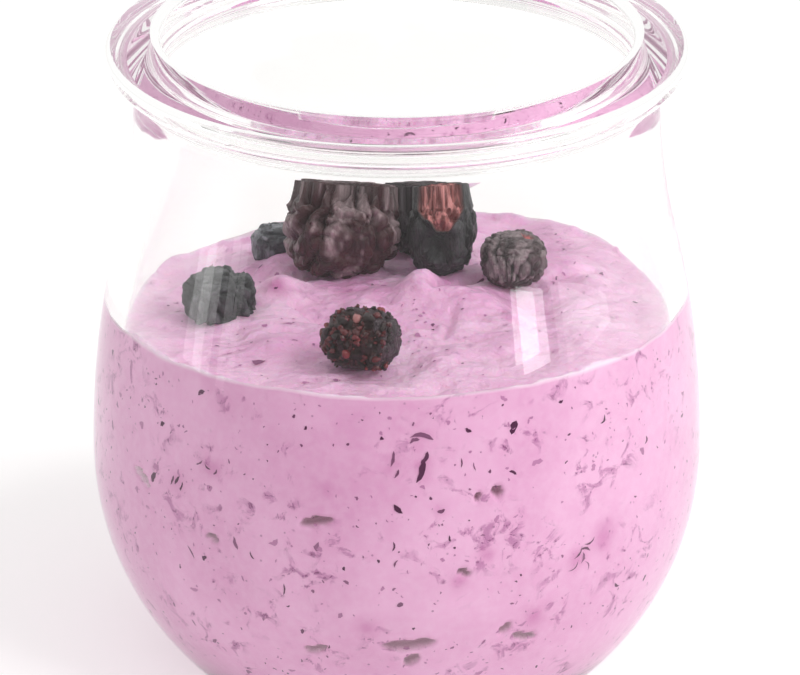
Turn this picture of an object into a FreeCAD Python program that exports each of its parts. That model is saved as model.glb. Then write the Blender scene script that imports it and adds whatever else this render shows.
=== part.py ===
"""A small glass preserving jar filled with berry mousse, with whole and broken dried berries on top.

The jar is one turned piece of clear glass.  Its wall is a chain of tangent arcs: a small round at
the foot, the lower belly, the upper belly, the hollow of the neck, and then a heavy rim whose top
slopes outwards.  Inside, the glass follows the wall up to the throat, opens outwards into a shallow
groove and comes in again as the lip of the mouth.
The mousse is one solid that fills the jar to an uneven, spooned top.  Each berry is a solid of its
own, set a little way into the mousse.

Lengths are in millimetres.  The axis of the jar is Z and its resting plane is Z = 0.
-Y is the front, +X is the right.
"""
import FreeCAD, Part
import math
import os

from FreeCAD import Vector

# Jar, outside
JAR_HEIGHT = 80.0
BELLY_RADIUS = 37.5
BELLY_HEIGHT = 26.0          # where the belly is widest
FOOT_RADIUS = 25.7           # outer edge of the flat the jar stands on
HEEL_ROUND = 3.0
SHOULDER_HEIGHT = 53.7       # where the belly's curve turns into the neck's
NECK_DRAW_IN = 5.86          # how much smaller the neck's radius is than the belly's
NECK_TO_TOP = 6.8            # from the narrowest place of the neck up to the jar's top
FOOT_RING = 5.2              # width of the flat ring under the base
PUNT_RISE = 1.2              # how far the middle of the base stands clear of the table

# Jar, rim
RIM_OVERHANG = 3.5           # the rim's upper edge beyond the neck, before it is rounded
RIM_EDGE_DROP = 1.8          # that edge below the top
RIM_UNDER_OVERHANG = 2.5     # the rim's lower edge beyond the neck
RIM_UNDER_DROP = 4.8         # that edge below the top
RIM_UNDER_SLOPE = 0.3        # how much lower the underside is at the neck
RIM_EDGE_ROUND = 0.9
RIM_UNDER_ROUND = 1.5
RIM_CREST_ROUND = 1.0
RIM_NECK_FILLET = 0.9

# Jar, inside
WALL = 3.2
BASE_THICKNESS = 5.0
FLOOR_ROUND = 9.0
THROAT_DROP = 4.4            # the inside leaves the wall's curve this far below the narrowest neck
THROAT_ROUND = 20.0          # of the curve in which it turns outwards there
MOUTH_FLARE = 10.5           # degrees that it opens outwards from there to the groove
GROOVE_DROP = 6.2            # the groove under the lip, below the top
LIP_INSET = 3.44             # from the outside of the neck in to the lip's upright inner face
LIP_DROP = 4.5               # the lower end of that face below the top
LIP_ROUND = 2.0

# Mousse
FILL_CLEARANCE = 0.05
FILL_HEIGHT = 44.9           # of the mousse along the glass, on average
FILL_FALL_BACK = 0.047       # it lies lower at the back, per millimetre
FILL_RISE_RIGHT = 0.025      # and higher on the right
MOUND_HEIGHT = 2.1
MOUND_RADIUS = 28.0
SWIRL_DEPTH = 0.45           # of the spoon marks
SWIRL_PITCH = 11.0
SWIRL_ARMS = 3
PEAK_HEIGHT = 1.3            # a soft peak pushed up between the middle berries
PEAK_RADIUS = 3.2
PEAK_PLACE = (0.6, 0.5)
TOP_GRID = 26                # spans of the top surface along each side

# Berries
BERRY_GAP = 0.12             # left free between two berries
BERRY_SLIDE = 0.05           # step in which a crowded berry is moved aside
BERRY_SQUARE = 0.8           # 1 for a plain ellipsoid, less for a berry with fuller shoulders
BERRY_ROWS = 18
BERRY_COLUMNS = 26
WRINKLES = 5                 # folds round a berry
WRINKLE_DEPTH = 0.045        # these depths and heights are shares of the berry's radius
WRINKLE_SWAY = 2.0           # how far a fold wanders to the sides, in radians
WRINKLE_BENDS = 3
CROWN_ANGLE = 0.42           # from the crown's middle to its ring, in radians
CROWN_WIDTH = 0.16           # of the ring
CROWN_HEIGHT = 0.05
CROWN_DENT = 0.16
CROWN_DENT_WIDTH = 0.25
GROOVE_WIDTH = 0.16          # shares of the berry's half width
GROOVE_REACH = 0.35          # it runs over the top and ends this far behind the middle
CRUMB_GRAIN = (Vector(9, 0, 4), Vector(3, 11, -7))

# name: place on the mousse, half sizes, how deep it sits, turn, crown tilt, groove, crumble,
# and the way it moves aside from berries set before it
BERRIES = {
    "berry_large": dict(place=(-6.9, 6.0), half=(7.7, 6.0, 6.4), sink=0.6, turn=8, crown=(-62, 25),
                        groove=(0.10, 0.17), crumble=0.0, aside=(0, 1)),
    "berry_open": dict(place=(5.3, 4.8), half=(4.6, 4.4, 6.1), sink=0.7, turn=-10, crown=(-75, 30),
                       groove=(-0.2, 0.05), crumble=0.015, aside=(1, 0)),
    "berry_right": dict(place=(13.9, 1.3), half=(4.3, 4.0, 3.6), sink=0.5, turn=20, crown=(40, 55),
                        groove=(0.3, 0.03), crumble=0.01, aside=(1, -0.3)),
    "berry_back": dict(place=(2.3, 14.2), half=(4.7, 4.5, 5.6), sink=0.4, turn=40, crown=(90, 20),
                       groove=(0.0, 0.05), crumble=0.0, aside=(0.2, 1)),
    "berry_back_left": dict(place=(-14.8, 12.8), half=(3.4, 3.1, 2.9), sink=0.4, turn=15,
                            crown=(150, 35), groove=(0.1, 0.05), crumble=0.0, aside=(-1, 0.4)),
    "berry_left": dict(place=(-20.9, -6.2), half=(4.6, 3.7, 3.9), sink=0.7, turn=12, crown=(200, 30),
                       groove=(0.38, 0.16), crumble=0.0, aside=(-1, 0)),
    "berry_front": dict(place=(-4.0, -22.8), half=(4.9, 3.9, 3.75), sink=0.6, turn=-12,
                        crown=(120, 40), groove=(-0.1, 0.06), crumble=0.05, aside=(0, -1)),
}


def arc(centre, radius, start, end):
    """Edge along a circle in the r-z plane; angles in radians from +r, turning from +r to +z."""
    def on_circle(angle):
        return Vector(centre[0] + radius * math.cos(angle), 0, centre[1] + radius * math.sin(angle))
    return Part.Arc(on_circle(start), on_circle((start + end) / 2), on_circle(end)).toShape()


def line(start, end):
    return Part.LineSegment(Vector(start[0], 0, start[1]), Vector(end[0], 0, end[1])).toShape()


def rounded_path(corners):
    """Edges along a run of corners (r, z, rounding); the first and last have no rounding."""
    edges = []
    at = corners[0][:2]
    for before, corner, after in zip(corners, corners[1:], corners[2:]):
        r, z, rounding = corner
        back = math.atan2(before[1] - z, before[0] - r)
        ahead = math.atan2(after[1] - z, after[0] - r)
        half = math.acos(math.cos(back - ahead)) / 2
        cut = rounding / math.tan(half)
        apex = rounding / math.sin(half)
        middle = math.atan2(math.sin(back) + math.sin(ahead), math.cos(back) + math.cos(ahead))
        start = (r + cut * math.cos(back), z + cut * math.sin(back))
        end = (r + cut * math.cos(ahead), z + cut * math.sin(ahead))
        top = (r + (apex - rounding) * math.cos(middle), z + (apex - rounding) * math.sin(middle))
        edges.append(line(at, start))
        edges.append(Part.Arc(*(Vector(p[0], 0, p[1]) for p in (start, top, end))).toShape())
        at = end
    edges.append(line(at, corners[-1][:2]))
    return edges


def crest_corner(edge, lip_radius):
    """Corner between the rim's sloping top and the upright lip whose round just reaches the top."""
    centre = (lip_radius + RIM_CREST_ROUND, JAR_HEIGHT - RIM_CREST_ROUND)
    away = math.hypot(edge[0] - centre[0], edge[1] - centre[1])
    fall = math.atan2(centre[1] - edge[1], edge[0] - centre[0]) + math.asin(RIM_CREST_ROUND / away)
    return (lip_radius, edge[1] + (edge[0] - lip_radius) * math.tan(fall))


class Wall:
    """The arcs of the jar's wall, from its foot to its neck, drawn in by any thickness."""

    def __init__(self):
        self.neck_radius = BELLY_RADIUS - NECK_DRAW_IN
        self.neck_height = JAR_HEIGHT - NECK_TO_TOP
        rise = self.neck_height - BELLY_HEIGHT
        both = rise ** 2 / (2 * NECK_DRAW_IN) + NECK_DRAW_IN / 2
        self.upper = both * (SHOULDER_HEIGHT - BELLY_HEIGHT) / rise
        self.hollow = both - self.upper
        self.turn = math.asin((SHOULDER_HEIGHT - BELLY_HEIGHT) / self.upper)
        across = BELLY_RADIUS - FOOT_RADIUS
        down = BELLY_HEIGHT - HEEL_ROUND
        self.lower = (across ** 2 + down ** 2 - HEEL_ROUND ** 2) / (2 * (across - HEEL_ROUND))
        self.lower_centre = (BELLY_RADIUS - self.lower, BELLY_HEIGHT)
        self.upper_centre = (BELLY_RADIUS - self.upper, BELLY_HEIGHT)
        self.hollow_centre = (self.neck_radius + self.hollow, self.neck_height)

    def edges(self, inset, low_angle, drop=0.0):
        """Lower belly, upper belly and neck hollow up to drop below the neck, inset to the axis."""
        end = math.pi + math.asin(drop / (self.hollow + inset))
        return [
            arc(self.lower_centre, self.lower - inset, low_angle, 0),
            arc(self.upper_centre, self.upper - inset, 0, self.turn),
            arc(self.hollow_centre, self.hollow + inset, math.pi + self.turn, end),
        ]

    def floor_round_centre(self, inset, floor):
        """Centre of the round between an inset wall and a floor."""
        height = floor + FLOOR_ROUND
        away = self.lower - inset - FLOOR_ROUND
        return (self.lower_centre[0] + math.sqrt(away ** 2 - (height - BELLY_HEIGHT) ** 2), height)

    def throat(self):
        """The curve that turns the inside outwards, and its upper end, as a place (r, z)."""
        lean = math.asin(THROAT_DROP / (self.hollow + WALL))
        flare = math.radians(MOUTH_FLARE)
        away = self.hollow + WALL - THROAT_ROUND
        centre = (self.hollow_centre[0] - away * math.cos(lean),
                  self.hollow_centre[1] - away * math.sin(lean))
        end = (centre[0] - THROAT_ROUND * math.cos(flare), centre[1] + THROAT_ROUND * math.sin(flare))
        return arc(centre, THROAT_ROUND, math.pi + lean, math.pi - flare), end

    def inside_edges(self, inset, floor, drop=0.0):
        """Floor, its round and the inset wall up to drop below the neck."""
        centre = self.floor_round_centre(inset, floor)
        low_angle = math.atan2(centre[1] - BELLY_HEIGHT, centre[0] - self.lower_centre[0])
        return [
            line((0, floor), (centre[0], floor)),
            arc(centre, FLOOR_ROUND, -math.pi / 2, low_angle),
        ] + self.edges(inset, low_angle, drop)


def turned(edges):
    """Solid turned about Z from the edges of a closed outline, in any order."""
    wire = Part.Wire(Part.__sortEdges__(edges))
    solid = Part.Face(wire).revolve(Vector(0, 0, 0), Vector(0, 0, 1), 360)
    return Part.Solid(solid.Shells[0]) if solid.ShapeType != "Solid" else solid


def make_jar(wall):
    heel_angle = math.atan2(HEEL_ROUND - BELLY_HEIGHT, FOOT_RADIUS - wall.lower_centre[0])
    outside = [arc((FOOT_RADIUS, HEEL_ROUND), HEEL_ROUND, -math.pi / 2, heel_angle)]
    outside += wall.edges(0, heel_angle)

    neck = wall.neck_radius
    under = JAR_HEIGHT - RIM_UNDER_DROP
    edge = (neck + RIM_OVERHANG, JAR_HEIGHT - RIM_EDGE_DROP)
    throat, throat_end = wall.throat()
    lip_radius = neck - LIP_INSET
    groove = JAR_HEIGHT - GROOVE_DROP
    groove_radius = throat_end[0] + (groove - throat_end[1]) * math.tan(math.radians(MOUTH_FLARE))
    rim = rounded_path([
        (neck, wall.neck_height, 0),
        (neck, under - RIM_UNDER_SLOPE, RIM_NECK_FILLET),
        (neck + RIM_UNDER_OVERHANG, under, RIM_UNDER_ROUND),
        (*edge, RIM_EDGE_ROUND),
        (*crest_corner(edge, lip_radius), RIM_CREST_ROUND),
        (lip_radius, JAR_HEIGHT - LIP_DROP, LIP_ROUND),
        (groove_radius, groove, LIP_ROUND),
        (*throat_end, 0),
    ])
    inside = wall.inside_edges(WALL, BASE_THICKNESS, THROAT_DROP) + [throat]

    ring = FOOT_RADIUS - FOOT_RING
    punt_radius = (ring ** 2 + PUNT_RISE ** 2) / (2 * PUNT_RISE)
    punt_angle = math.asin(ring / punt_radius)
    base = [
        line((0, BASE_THICKNESS), (0, PUNT_RISE)),
        arc((0, PUNT_RISE - punt_radius), punt_radius, math.pi / 2, math.pi / 2 - punt_angle),
        line((ring, 0), (FOOT_RADIUS, 0)),
    ]
    return turned(outside + rim + inside + base)


def top_height(x, y):
    """Height of the mousse's top: a gentle slope, a low mound, spoon marks and one soft peak."""
    radius = math.hypot(x, y)
    height = FILL_HEIGHT - FILL_FALL_BACK * y + FILL_RISE_RIGHT * x
    height += MOUND_HEIGHT * max(0, 1 - (radius / MOUND_RADIUS) ** 2) ** 2
    swirl = math.sin(SWIRL_ARMS * math.atan2(y, x) + 2 * math.pi * radius / SWIRL_PITCH)
    fade = (radius / MOUND_RADIUS) * math.exp(1 - (radius / MOUND_RADIUS) ** 2)
    height += SWIRL_DEPTH * swirl * fade
    off_peak = math.hypot(x - PEAK_PLACE[0], y - PEAK_PLACE[1]) / PEAK_RADIUS
    return height + PEAK_HEIGHT * math.exp(-off_peak ** 2)


def make_mousse(wall, berries):
    """The jar's inside, less a clearance, up to the top surface and cut round the berries."""
    inset = WALL + FILL_CLEARANCE
    floor = BASE_THICKNESS + FILL_CLEARANCE
    neck = wall.neck_radius - inset
    block = turned(wall.inside_edges(inset, floor) + [
        line((neck, wall.neck_height), (0, wall.neck_height)),
        line((0, wall.neck_height), (0, floor)),
    ])
    half = BELLY_RADIUS + WALL
    steps = [half * (2 * i / TOP_GRID - 1) for i in range(TOP_GRID + 1)]
    surface = Part.BSplineSurface()
    surface.interpolate([[Vector(x, y, top_height(x, y)) for y in steps] for x in steps])
    above = surface.toShape().extrude(Vector(0, 0, JAR_HEIGHT))
    mousse = block.cut(above)
    for berry in berries:
        mousse = mousse.cut(berry)
    return max(mousse.Solids, key=lambda solid: solid.Volume)


def unit(bearing, tilt):
    """Direction with a bearing from +X and a tilt above the table, both in radians."""
    return Vector(math.cos(tilt) * math.cos(bearing), math.cos(tilt) * math.sin(bearing), math.sin(tilt))


def berry_share(way, crown, groove, crumble):
    """Share of the full radius that a berry reaches in a direction.

    Wrinkles run from the crown to the far end.  The crown is a ring round a dent.  The groove
    parts the berry into two lobes at a share of its width.  A broken berry also has a crumbled,
    grainy face.
    """
    off_crown = math.acos(max(-1, min(1, way.dot(crown))))
    side = crown.cross(Vector(0, 0, 1)).normalize()
    round_crown = math.atan2(way.dot(side), way.dot(crown.cross(side)))
    fold = WRINKLES * round_crown + WRINKLE_SWAY * math.sin(WRINKLE_BENDS * off_crown)
    share = 1 - WRINKLE_DEPTH * (1 - math.sin(off_crown) * math.sin(fold))
    share += CROWN_HEIGHT * math.exp(-((off_crown - CROWN_ANGLE) / CROWN_WIDTH) ** 2)
    share -= CROWN_DENT * math.exp(-(off_crown / CROWN_DENT_WIDTH) ** 2)
    place, depth = groove
    share -= depth * math.exp(-((way.x - place) / GROOVE_WIDTH) ** 2) * max(0, GROOVE_REACH - way.y)
    for grain in CRUMB_GRAIN:
        share -= crumble * (1 - math.sin(way.dot(grain)))
    return min(1, share)


def make_berry(centre, half, turn, crown, groove, crumble):
    """Faceted berry: rows and columns round the vertical axis, on a full ellipsoid that is dented."""
    axis = unit(*map(math.radians, crown))

    def point(row, column):
        tilt = math.pi * (row / BERRY_ROWS - 0.5)
        bearing = 2 * math.pi * column / BERRY_COLUMNS
        way = unit(bearing, tilt)
        share = berry_share(way, axis, groove, crumble)
        return Vector(*(share * math.copysign(abs(a) ** BERRY_SQUARE, a) * b
                        for a, b in zip(way, half)))

    rows = [[point(row, column) for column in range(BERRY_COLUMNS)] for row in range(1, BERRY_ROWS)]
    ends = point(0, 0), point(BERRY_ROWS, 0)
    triangles = []
    for column in range(BERRY_COLUMNS):
        after = (column + 1) % BERRY_COLUMNS
        triangles.append((ends[0], rows[0][after], rows[0][column]))
        triangles.append((ends[1], rows[-1][column], rows[-1][after]))
        for low, high in zip(rows, rows[1:]):
            triangles.append((low[column], low[after], high[after]))
            triangles.append((low[column], high[after], high[column]))
    faces = [Part.Face(Part.makePolygon([a, b, c, a])) for a, b, c in triangles]
    berry = Part.Solid(Part.Shell(faces))
    berry.rotate(Vector(0, 0, 0), Vector(0, 0, 1), turn)
    berry.translate(centre)
    return berry


def reach(half, turn, way):
    """How far a berry of these half sizes reaches along a level direction."""
    angle = way.getAngle(Vector(1, 0, 0)) * (1 if way.y >= 0 else -1) - math.radians(turn)
    power = 2 / (2 - BERRY_SQUARE)
    along = abs(half[0] * math.cos(angle)) ** power + abs(half[1] * math.sin(angle)) ** power
    return along ** (1 / power)


def set_berries():
    """Berries seated on the mousse, each moved aside until it stands clear of those before it."""
    seated = []
    solids = {}
    for name, berry in BERRIES.items():
        place = Vector(*berry["place"], 0)
        aside = Vector(*berry["aside"], 0).normalize()

        def crowded():
            for other, half, turn in seated:
                way = place - other
                needed = reach(half, turn, way) + reach(berry["half"], berry["turn"], way) + BERRY_GAP
                if way.Length < needed:
                    return True
            return False

        while crowded():
            place = place + aside * BERRY_SLIDE
        seated.append((place, berry["half"], berry["turn"]))
        height = top_height(place.x, place.y) + berry["half"][2] - berry["sink"]
        solids[name] = make_berry(Vector(place.x, place.y, height), berry["half"], berry["turn"],
                                  berry["crown"], berry["groove"], berry["crumble"])
        print(name, "at", [round(v, 2) for v in (place.x, place.y, height)])
    return solids


def main():
    os.makedirs("parts", exist_ok=True)
    wall = Wall()
    berries = set_berries()
    nodes = {"jar": make_jar(wall), "mousse": make_mousse(wall, berries.values())}
    nodes.update(berries)
    for name, shape in nodes.items():
        shape.exportStep(os.path.join("parts", name + ".step"))
        box = shape.optimalBoundingBox()
        print(name, "solids", len(shape.Solids), "faces", len(shape.Faces), "valid", shape.isValid(),
              "volume", round(shape.Volume, 1), "z", round(box.ZMin, 2), round(box.ZMax, 2))


main()
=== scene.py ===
# %% [markdown]
# # A small jar of berry mousse
# The object is a clear glass preserving jar without its lid, filled with pink mousse and topped with dried
# berries.  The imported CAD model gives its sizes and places.  This lesson gives it its looks, piece by piece:
# the glass, the mousse with its skin shreds and air holes, and each berry.

# %% Load the fixed frame
import math

import bpy
import numpy as np
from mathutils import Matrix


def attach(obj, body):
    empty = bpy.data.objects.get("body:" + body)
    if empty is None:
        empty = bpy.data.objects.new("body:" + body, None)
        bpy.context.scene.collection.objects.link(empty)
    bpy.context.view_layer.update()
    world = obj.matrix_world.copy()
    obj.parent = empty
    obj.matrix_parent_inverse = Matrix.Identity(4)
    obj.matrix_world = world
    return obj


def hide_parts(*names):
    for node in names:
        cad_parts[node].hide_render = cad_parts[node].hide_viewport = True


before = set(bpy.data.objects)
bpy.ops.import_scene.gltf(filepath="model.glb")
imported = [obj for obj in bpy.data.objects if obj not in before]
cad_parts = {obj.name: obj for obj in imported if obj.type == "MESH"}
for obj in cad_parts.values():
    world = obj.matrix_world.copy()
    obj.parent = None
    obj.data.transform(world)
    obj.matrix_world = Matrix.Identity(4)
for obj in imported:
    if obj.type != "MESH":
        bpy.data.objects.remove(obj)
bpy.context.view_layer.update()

MM = 0.001

# %% [markdown]
# ## Camera
# A small object looks natural from well over half a metre away through a long lens, from a little above, so that
# both the side of the jar and the top of the mousse show.  The camera looks along +Y and is tipped down.

# %% Camera
LOOK_DOWN = 23.93
CAMERA_AWAY = 0.600
AIM_HEIGHT = 0.03954
CAMERA_SIDE = 0.00037

camera_data = bpy.data.cameras.new("camera")
camera_data.lens = 220.4
camera_data.clip_end = 20
camera = bpy.data.objects.new("camera", camera_data)
bpy.context.scene.collection.objects.link(camera)
tip = math.radians(LOOK_DOWN)
camera.location = (CAMERA_SIDE, -CAMERA_AWAY * math.cos(tip), AIM_HEIGHT + CAMERA_AWAY * math.sin(tip))
camera.rotation_euler = (math.pi / 2 - tip, 0, 0)
bpy.context.scene.camera = camera
bpy.context.scene.view_settings.view_transform = "Standard"
print("camera at", [round(v, 4) for v in camera.location])

# %% [markdown]
# ## Shader helpers
# A finish is a small network of nodes.  Written as Python expressions it stays readable: `Value` wraps one
# socket, and arithmetic on it adds the Math nodes.  Every other node comes from `Finish.node`.


# %% A number that changes over the surface
class Value:
    """One output socket; +, * and a number minus it add Math nodes."""

    def __init__(self, finish, socket):
        self.finish = finish
        self.socket = socket

    def math(self, operation, *others, clamp=False):
        made = self.finish.node("ShaderNodeMath", {"operation": operation, "use_clamp": clamp},
                                dict(enumerate(others)))
        return Value(self.finish, made.outputs[0])

    def __add__(self, other):
        return self.math("ADD", self, other)

    def __rsub__(self, other):
        return self.math("SUBTRACT", other, self)

    def __mul__(self, other):
        return self.math("MULTIPLY", self, other)

    __radd__ = __add__
    __rmul__ = __mul__

    def clamp(self):
        return self.math("ADD", self, 0.0, clamp=True)

    def between(self, low, high):
        """0 below low, 1 above high, with a smooth rise from one to the other."""
        made = self.finish.node("ShaderNodeMapRange", {"interpolation_type": "SMOOTHSTEP"},
                                {"Value": self, "From Min": low, "From Max": high})
        return Value(self.finish, made.outputs["Result"])


# %% A finish under construction
class Finish:
    """A material and its nodes; or the world's nodes, where their tree is handed in."""

    def __init__(self, name, tree=None):
        if tree is None:
            self.material = bpy.data.materials.new(name)
            self.material.use_nodes = True
            tree = self.material.node_tree
        self.tree = tree
        self.tree.nodes.clear()

    def feed(self, socket, value):
        """Link a value or a node's first output to a socket, or set the socket to a constant."""
        if isinstance(value, Value):
            self.tree.links.new(value.socket, socket)
        elif isinstance(value, bpy.types.Node):
            self.tree.links.new(value.outputs[0], socket)
        elif isinstance(value, bpy.types.NodeSocket):
            self.tree.links.new(value, socket)
        elif socket.type == "RGBA" and len(value) == 3:
            socket.default_value = (*value, 1)
        else:
            socket.default_value = value

    def node(self, kind, settings=None, sockets=None):
        """Add a node: its settings are set first, and then its sockets are set or linked."""
        made = self.tree.nodes.new(kind)
        for key, value in (settings or {}).items():
            setattr(made, key, value)
        for key, value in (sockets or {}).items():
            self.feed(made.inputs[key], value)
        return made

    def place(self, stretch=(1, 1, 1)):
        """Object coordinates in metres, stretched for patterns that run one way."""
        where = self.node("ShaderNodeTexCoord").outputs["Object"]
        if tuple(stretch) == (1, 1, 1):
            return where
        return self.node("ShaderNodeMapping", {}, {"Vector": where, "Scale": stretch}).outputs[0]

    def noise(self, size, detail=2.0, stretch=(1, 1, 1), rough=0.5, twist=0.0):
        """Smooth random pattern from 0 to 1 whose features are about size metres."""
        made = self.node("ShaderNodeTexNoise", {},
                         {"Vector": self.place(stretch), "Scale": 1 / size, "Detail": detail,
                          "Roughness": rough, "Distortion": twist})
        return Value(self, made.outputs["Fac"])

    def spots(self, size):
        """Distance to the nearest of many scattered points, as a share of their spacing."""
        made = self.node("ShaderNodeTexVoronoi", {}, {"Vector": self.place(), "Scale": 1 / size})
        return Value(self, made.outputs["Distance"])

    def attribute(self, name):
        made = self.node("ShaderNodeAttribute", {"attribute_name": name})
        return Value(self, made.outputs["Fac"])

    def blend(self, first, second, share):
        """Colour between two colours."""
        made = self.node("ShaderNodeMix", {"data_type": "RGBA"}, {0: share, 6: first, 7: second})
        return made.outputs[2]

    def bump(self, height, depth, strength=1.0, under=None):
        """Normal of a relief: height from 0 to 1 stands for depth metres."""
        sockets = {"Height": height, "Distance": depth, "Strength": strength}
        if under is not None:
            sockets["Normal"] = under
        return self.node("ShaderNodeBump", {}, sockets)

    def surface(self, **sockets):
        """Principled shader; the names of its sockets are written with underscores."""
        return self.node("ShaderNodeBsdfPrincipled", {},
                         {key.replace("_", " "): value for key, value in sockets.items()})

    def done(self, shader):
        self.node("ShaderNodeOutputMaterial", {}, {"Surface": shader})
        return self.material


def light_path(finish, *names):
    """1 for rays of any of the named kinds, and 0 for others."""
    path = finish.node("ShaderNodeLightPath")
    value = Value(finish, path.outputs[names[0]])
    for name in names[1:]:
        value = value.math("MAXIMUM", value, path.outputs[name])
    return value


# %% [markdown]
# ## Light
# Glass is drawn by what it mirrors and bends.  A white room gives clear glass its white body.  The side from
# which it is looked at stays dark, for what the glass mirrors, so that its front adds no grey veil to what
# stands behind it.  A large soft box high on the right is the main light.  Low, narrow ones at both sides are
# mirrored by the round wall as upright veils.

# %% White room with a dark front
WHITE_SEEN = ("Is Camera Ray", "Is Glossy Ray", "Is Transmission Ray")
ROOM_LIGHT = 0.67
DARK_FRONT = 0.86
DARK_THROUGH = 0.60          # share of that darkness which is left for what is seen through the glass


def mirrored(finish):
    """1 for rays that the glass mirrors, and less for those that it lets through."""
    let_through = light_path(finish, "Is Transmission Ray")
    return light_path(finish, "Is Glossy Ray") * (1 - let_through * (1 - DARK_THROUGH))


world = bpy.data.worlds.new("room")
bpy.context.scene.world = world
world.use_nodes = True
room = Finish("room", world.node_tree)
seen = light_path(room, *WHITE_SEEN)
towards = room.node("ShaderNodeSeparateXYZ", {}, {0: room.node("ShaderNodeTexCoord").outputs["Generated"]})
ahead = Value(room, towards.outputs["Y"])
dark = mirrored(room) * (1 - ahead.between(-0.45, -0.05)) * DARK_FRONT
level = (seen * (1.0 - ROOM_LIGHT) + ROOM_LIGHT) * (1 - dark)
backdrop = room.node("ShaderNodeBackground", {}, {"Color": (1.0, 0.997, 0.99, 1), "Strength": level})
room.node("ShaderNodeOutputWorld", {}, {"Surface": backdrop})


# %% Soft boxes
def soft_box(name, bearing, rise, away, width, height, radiance):
    """Area lamp that faces the jar; bearing from the camera's side towards the right, in degrees.

    Its power is its radiance times pi times its area.
    """
    lamp = bpy.data.lights.new(name, "AREA")
    lamp.shape = "RECTANGLE"
    lamp.size = width
    lamp.size_y = height
    lamp.energy = radiance * math.pi * width * height
    piece = bpy.data.objects.new(name, lamp)
    bpy.context.scene.collection.objects.link(piece)
    turn, up = math.radians(bearing), math.radians(rise)
    piece.location = (away * math.sin(turn) * math.cos(up), -away * math.cos(turn) * math.cos(up),
                      0.05 + away * math.sin(up))
    piece.rotation_euler = (math.pi / 2 - up, 0, turn)
    print(name, "power W", round(lamp.energy, 2))


soft_box("key_right", bearing=62, rise=45, away=0.80, width=0.34, height=0.34, radiance=7.8)
soft_box("box_right", bearing=52, rise=1.8, away=0.36, width=0.07, height=0.060, radiance=5.2)
soft_box("box_right_far", bearing=77, rise=1, away=0.50, width=0.20, height=0.10, radiance=1.5)
soft_box("box_left", bearing=-80, rise=-1.2, away=0.32, width=0.05, height=0.080, radiance=2.0)
soft_box("box_left_narrow", bearing=-66, rise=-1.2, away=0.32, width=0.02, height=0.080, radiance=1.2)

# %% [markdown]
# ## Floor
# The floor is a plain pale sheet.  It takes the real light and the jar's shadow, and for what the camera and
# the glass see a little light of its own lifts it to white.

# %% Floor
FLOOR_LIFT = 0.31

sheet = bpy.data.meshes.new("floor")
sheet.from_pydata([(-8, -8, 0), (8, -8, 0), (8, 8, 0), (-8, 8, 0)], [], [(0, 1, 2, 3)])
floor = bpy.data.objects.new("floor", sheet)
bpy.context.scene.collection.objects.link(floor)
paper = Finish("floor_paper")
along = Value(paper, paper.node("ShaderNodeSeparateXYZ", {}, {0: paper.place()}).outputs["Y"])
dark = mirrored(paper) * (1 - along.between(-0.16, -0.05)) * DARK_FRONT
lift = light_path(paper, *WHITE_SEEN) * FLOOR_LIFT * (1 - dark)
glow = paper.node("ShaderNodeCombineXYZ", {}, {0: lift, 1: lift, 2: lift})
sheet_tone = paper.blend((0.90, 0.895, 0.885), (0.0, 0.0, 0.0), dark)
floor.data.materials.append(paper.done(paper.surface(
    Base_Color=sheet_tone, Roughness=0.9, Specular_IOR_Level=0.0,
    Emission_Color=glow, Emission_Strength=1.0)))

# %% [markdown]
# ## Surfaces from arrays
# Each shape is a function of two numbers worked out on a grid as whole numpy arrays.  The grid's points go
# into the mesh at once, and every four neighbours make one face.


# %% Mesh from arrays
def put_mesh(name, points, faces, **attributes):
    """Object from points in millimetres and arrays of faces that list their corners."""
    mesh = bpy.data.meshes.new(name)
    mesh.vertices.add(len(points))
    mesh.vertices.foreach_set("co", (points * MM).astype(np.float32).ravel())
    corners = np.concatenate([f.ravel() for f in faces]).astype(np.int32)
    sizes = np.concatenate([np.full(len(f), f.shape[1]) for f in faces]).astype(np.int32)
    mesh.loops.add(len(corners))
    mesh.loops.foreach_set("vertex_index", corners)
    mesh.polygons.add(len(sizes))
    mesh.polygons.foreach_set("loop_start", np.cumsum(sizes).astype(np.int32) - sizes)
    mesh.update(calc_edges=True)
    mesh.shade_smooth()
    for key, values in attributes.items():
        mesh.attributes.new(key, "FLOAT", "POINT").data.foreach_set("value", values.astype(np.float32).ravel())
    piece = bpy.data.objects.new(name, mesh)
    bpy.context.scene.collection.objects.link(piece)
    print(name, "faces", len(sizes))
    return piece


def ring_faces(rows, columns, start=0):
    """Faces of a grid whose last column meets its first; rows run along the surface."""
    number = np.arange(rows * columns).reshape(rows, columns) + start
    after = np.roll(number, -1, axis=1)
    return np.stack([number[:-1], after[:-1], after[1:], number[1:]], -1).reshape(-1, 4)


def closed_grid(name, points, **attributes):
    """Piece from rows of rings whose first and last rings shrink to points."""
    rows, columns = points.shape[:2]
    first, last = points[0].mean(0), points[-1].mean(0)
    every = np.concatenate([points[1:-1].reshape(-1, 3), [first, last]])
    body = ring_faces(rows - 2, columns)
    column = np.arange(columns)
    end = (rows - 3) * columns
    start_fan = np.stack([np.full(columns, len(every) - 2), (column + 1) % columns, column], -1)
    end_fan = np.stack([np.full(columns, len(every) - 1), end + column, end + (column + 1) % columns], -1)
    flat = {key: np.concatenate([v[1:-1].ravel(), [v[0].mean(), v[-1].mean()]]) for key, v in attributes.items()}
    return put_mesh(name, every, [body, start_fan, end_fan], **flat)


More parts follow.
